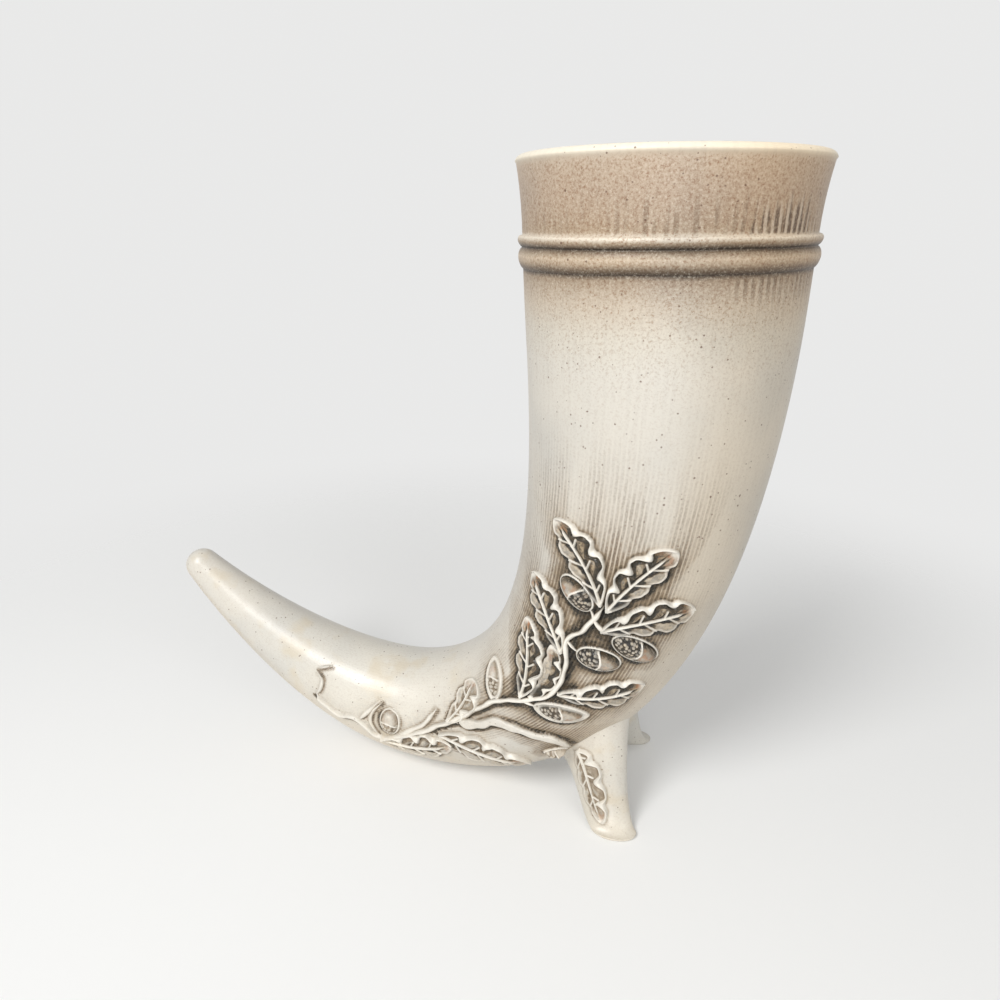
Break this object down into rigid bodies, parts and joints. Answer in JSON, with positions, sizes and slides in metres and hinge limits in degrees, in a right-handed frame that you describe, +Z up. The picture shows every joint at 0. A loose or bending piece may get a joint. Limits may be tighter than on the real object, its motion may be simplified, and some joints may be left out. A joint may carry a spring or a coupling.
{
  "type": "cornucopia vase",
  "caption": "Hollow drinking-horn vase that lies on its belly and two splayed legs, mouth up and tip raised, with an oak spray in relief on each side.",
  "frame": {"origin": "centre of the bounding box at the surface that the vase stands on", "axes": "+Z up, +X from the raised tip towards the mouth, so that the near side with its spray faces -Y"},
  "size_m": [0.2674, 0.1036, 0.2582],
  "materials": {
    "horn_glaze": "satin off-white glaze with iron specks, tan at the rim",
    "leg_glaze": "satin cream glaze",
    "leaf_glaze": "glossy dark wash in the hollows, pale raised rims and ribs",
    "acorn_glaze": "glossy dark wash over pale clay",
    "twig_glaze": "satin cream glaze with a brown wash along the edges"
  },
  "bodies": {
    "root": {"horn_body": "horn_glaze", "near_leg": "leg_glaze", "far_leg": "leg_glaze", "near_leg_leaf": "leaf_glaze", "near_crown_leaf": "leaf_glaze", "near_brow_leaf": "leaf_glaze", "near_back_leaf": "leaf_glaze", "near_throat_leaf": "leaf_glaze", "near_inner_leaf": "leaf_glaze", "near_tucked_leaf": "leaf_glaze", "near_heel_leaf": "leaf_glaze", "near_under_leaf": "leaf_glaze", "near_belly_leaf": "leaf_glaze", "near_arm_leaf": "leaf_glaze", "near_crown_acorn": "acorn_glaze", "near_heart_acorn": "acorn_glaze", "near_back_acorn": "acorn_glaze", "near_heel_acorn": "acorn_glaze", "near_inner_acorn": "acorn_glaze", "near_arm_acorn": "acorn_glaze", "near_heel_bud": "acorn_glaze", "near_main_twig": "twig_glaze", "near_leg_twig": "twig_glaze", "far_leg_leaf": "leaf_glaze", "far_crown_leaf": "leaf_glaze", "far_brow_leaf": "leaf_glaze", "far_back_leaf": "leaf_glaze", "far_throat_leaf": "leaf_glaze", "far_inner_leaf": "leaf_glaze", "far_tucked_leaf": "leaf_glaze", "far_heel_leaf": "leaf_glaze", "far_under_leaf": "leaf_glaze", "far_belly_leaf": "leaf_glaze", "far_arm_leaf": "leaf_glaze", "far_crown_acorn": "acorn_glaze", "far_heart_acorn": "acorn_glaze", "far_back_acorn": "acorn_glaze", "far_heel_acorn": "acorn_glaze", "far_inner_acorn": "acorn_glaze", "far_arm_acorn": "acorn_glaze", "far_heel_bud": "acorn_glaze", "far_main_twig": "twig_glaze", "far_leg_twig": "twig_glaze"}
  },
  "joints": []
}
